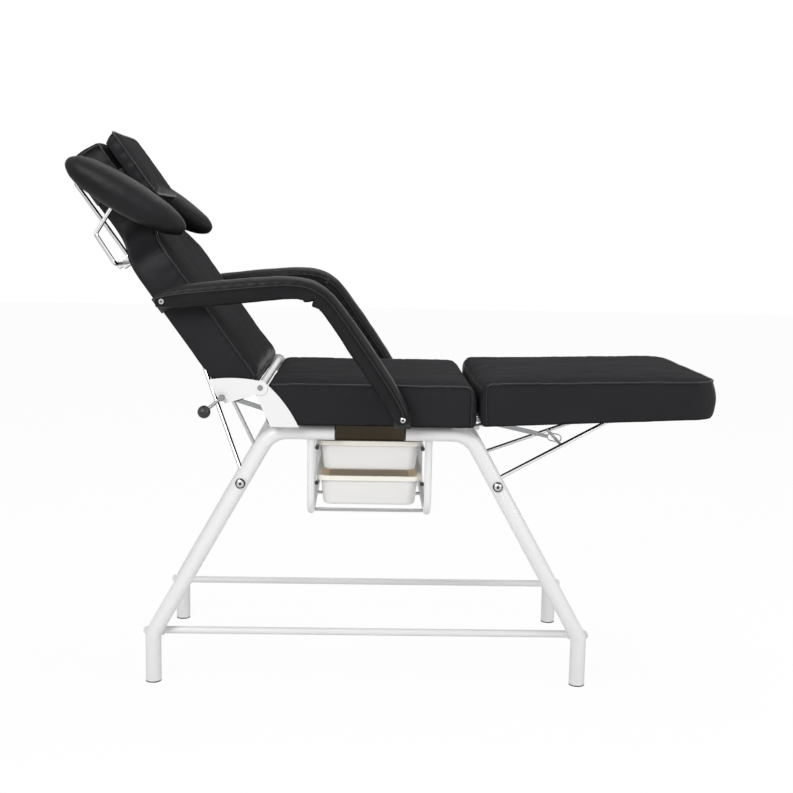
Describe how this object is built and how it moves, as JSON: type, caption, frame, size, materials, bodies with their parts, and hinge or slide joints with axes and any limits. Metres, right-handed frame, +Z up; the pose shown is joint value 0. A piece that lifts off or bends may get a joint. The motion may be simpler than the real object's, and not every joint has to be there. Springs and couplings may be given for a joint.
{
  "type": "tattoo chair",
  "caption": "Reclining padded tattoo chair on bent tube legs, with a hinged leg rest, folding armrests, head-end arm pads and slide-out trays under the seat.",
  "frame": {"origin": "middle of the overall box on the floor, under the seat", "axes": "+X to the foot end of the leg rest, +Y to the sitter's left, +Z up"},
  "size_m": [1.5541, 0.7216, 1.3234],
  "materials": {
    "white_paint": "gloss white powder coat",
    "bright_chrome": "polished chrome plate",
    "zinc_steel": "zinc-plated steel",
    "black_paint": "black paint",
    "black_leather": "soft synthetic leather with a fine grain, satin",
    "black_webbing": "woven webbing",
    "plywood": "bare plywood",
    "tray_plastic": "moulded cream-white plastic",
    "black_plastic": "moulded black plastic"
  },
  "bodies": {
    "frame": {"head_legs": "white_paint", "foot_legs": "white_paint", "tube_caps": "black_plastic", "cross_tubes": "white_paint", "frame_bolts": "bright_chrome", "side_stretchers": "white_paint", "stretcher_bolts": "bright_chrome", "rack_hoops": "white_paint", "rack_bars": "bright_chrome", "tray_rails": "bright_chrome", "rail_caps": "black_plastic", "seat_cushion": "black_leather", "seat_board": "plywood", "seat_plates": "white_paint", "recline_axle": "white_paint", "seat_plate_screws": "black_paint", "leg_hinges_fixed": "white_paint", "leg_hinge_pins": "bright_chrome", "stay_brackets": "white_paint", "arm_foot_brackets": "black_paint", "arm_foot_bolts": "bright_chrome"},
    "back": {"back_cushion": "black_leather", "back_board": "plywood", "back_plates": "white_paint", "back_plate_screws": "black_paint", "recline_pins": "bright_chrome", "arm_back_lugs": "black_paint", "rear_rails": "bright_chrome", "pad_clamps": "bright_chrome", "head_pillow": "black_leather", "pillow_strap": "black_webbing"},
    "leg_rest": {"leg_rest_cushion": "black_leather", "leg_rest_board": "plywood", "leg_hinges_moving": "white_paint"},
    "back_support_frame": {"back_support": "bright_chrome"},
    "leg_support_frame": {"leg_support": "bright_chrome"},
    "back_stay_case": {"back_stay_channel": "zinc_steel"},
    "back_stay_bar": {"back_stay_rack": "zinc_steel"},
    "leg_stay_case": {"leg_stay_channel": "zinc_steel"},
    "leg_stay_bar": {"leg_stay_rack": "zinc_steel"},
    "release_lever": {"release_lever": "bright_chrome", "lever_knob": "black_plastic"},
    "upper_tray": {"upper_tray": "tray_plastic"},
    "lower_tray": {"lower_tray": "tray_plastic"},
    "lower_arm_right": {"lower_arm_pad_right": "black_leather", "lower_arm_bar_right": "black_paint"},
    "upper_arm_right": {"upper_arm_pad_right": "black_leather", "upper_arm_bar_right": "black_paint", "arm_back_bolt_right": "bright_chrome"},
    "pad_holder_right": {"pad_holder_right": "bright_chrome", "arm_pad_right": "black_leather"},
    "wing_screw_right": {"wing_screw_right": "bright_chrome"},
    "lower_arm_left": {"lower_arm_pad_left": "black_leather", "lower_arm_bar_left": "black_paint"},
    "upper_arm_left": {"upper_arm_pad_left": "black_leather", "upper_arm_bar_left": "black_paint", "arm_back_bolt_left": "bright_chrome"},
    "pad_holder_left": {"pad_holder_left": "bright_chrome", "arm_pad_left": "black_leather"},
    "wing_screw_left": {"wing_screw_left": "bright_chrome"}
  },
  "joints": [
    {"name": "back_recline", "type": "hinge", "parent": "frame", "child": "back", "pos_m": [-0.307, 0, 0.734], "axis": [0, -1, 0], "range_deg": [0, 54]},
    {"name": "leg_rest_hinge", "type": "hinge", "parent": "frame", "child": "leg_rest", "pos_m": [0.206, 0, 0.641], "axis": [0, 1, 0], "range_deg": [0, 58]},
    {"name": "back_support_hinge", "type": "hinge", "parent": "frame", "child": "back_support_frame", "pos_m": [-0.35688, 0, 0.498], "axis": [0, -1, 0], "range_deg": [0, 45.44]},
    {"name": "back_stay_hinge", "type": "hinge", "parent": "frame", "child": "back_stay_case", "pos_m": [-0.284, 0, 0.628], "axis": [0, -1, 0], "range_deg": [0, 31.16]},
    {"name": "back_stay_slide", "type": "slide", "parent": "back_stay_case", "child": "back_stay_bar", "axis": [-0.9554, 0, 0.2954], "range_m": [0, 0.10554]},
    {"name": "leg_support_hinge", "type": "hinge", "parent": "frame", "child": "leg_support_frame", "pos_m": [0.25888, 0, 0.498], "axis": [0, 1, 0], "range_deg": [0, 73.85]},
    {"name": "leg_stay_hinge", "type": "hinge", "parent": "frame", "child": "leg_stay_case", "pos_m": [0.193, 0, 0.628], "axis": [0, 1, 0], "range_deg": [0, 43.53]},
    {"name": "leg_stay_slide", "type": "slide", "parent": "leg_stay_case", "child": "leg_stay_bar", "axis": [0.9771, 0, -0.2126], "range_m": [0, 0.09906]},
    {"name": "lower_arm_hinge_right", "type": "hinge", "parent": "frame", "child": "lower_arm_right", "pos_m": [0.025, 0, 0.671], "axis": [0, -1, 0], "range_deg": [0, 29.3]},
    {"name": "upper_arm_hinge_right", "type": "hinge", "parent": "lower_arm_right", "child": "upper_arm_right", "pos_m": [-0.176, 0, 0.96], "axis": [0, -1, 0], "range_deg": [-8.23, 0]},
    {"name": "lower_arm_hinge_left", "type": "hinge", "parent": "frame", "child": "lower_arm_left", "pos_m": [0.025, 0, 0.671], "axis": [0, -1, 0], "range_deg": [0, 29.3]},
    {"name": "upper_arm_hinge_left", "type": "hinge", "parent": "lower_arm_left", "child": "upper_arm_left", "pos_m": [-0.176, 0, 0.96], "axis": [0, -1, 0], "range_deg": [-8.23, 0]},
    {"name": "pad_holder_hinge_right", "type": "hinge", "parent": "back", "child": "pad_holder_right", "pos_m": [-0.65161, 0, 1.01266], "axis": [0, -1, 0], "range_deg": [0, 60]},
    {"name": "pad_holder_hinge_left", "type": "hinge", "parent": "back", "child": "pad_holder_left", "pos_m": [-0.65161, 0, 1.01266], "axis": [0, -1, 0], "range_deg": [0, 60]},
    {"name": "wing_screw_hinge_right", "type": "hinge", "parent": "back", "child": "wing_screw_right", "pos_m": [-0.65808, -0.12, 1.00796], "axis": [0.809, 0, 0.5878], "range_deg": [0, 180]},
    {"name": "wing_screw_hinge_left", "type": "hinge", "parent": "back", "child": "wing_screw_left", "pos_m": [-0.65808, 0.12, 1.00796], "axis": [0.809, 0, 0.5878], "range_deg": [0, 180]},
    {"name": "release_lever_hinge", "type": "hinge", "parent": "back", "child": "release_lever", "pos_m": [-0.39597, 0, 0.71015], "axis": [0, -1, 0], "range_deg": [0, 25], "stiffness_Nm_per_rad": 2},
    {"name": "upper_tray_slide", "type": "slide", "parent": "frame", "child": "upper_tray", "axis": [0, -1, 0], "range_m": [-0.3, 0.3]},
    {"name": "lower_tray_slide", "type": "slide", "parent": "frame", "child": "lower_tray", "axis": [0, -1, 0], "range_m": [-0.3, 0.3]}
  ],
  "couplings": [
    {"joint": "back_support_hinge", "follows": "back_recline", "ratio": 0.84147},
    {"joint": "back_stay_hinge", "follows": "back_recline", "ratio": 0.577},
    {"joint": "back_stay_slide", "follows": "back_recline", "m_per_rad": 0.11199},
    {"joint": "leg_support_hinge", "follows": "leg_rest_hinge", "ratio": 1.2732},
    {"joint": "leg_stay_hinge", "follows": "leg_rest_hinge", "ratio": 0.7505},
    {"joint": "leg_stay_slide", "follows": "leg_rest_hinge", "m_per_rad": 0.097861},
    {"joint": "lower_arm_hinge_right", "follows": "back_recline", "ratio": 0.5425},
    {"joint": "upper_arm_hinge_right", "follows": "back_recline", "ratio": -0.1525},
    {"joint": "lower_arm_hinge_left", "follows": "back_recline", "ratio": 0.5425},
    {"joint": "upper_arm_hinge_left", "follows": "back_recline", "ratio": -0.1525}
  ]
}
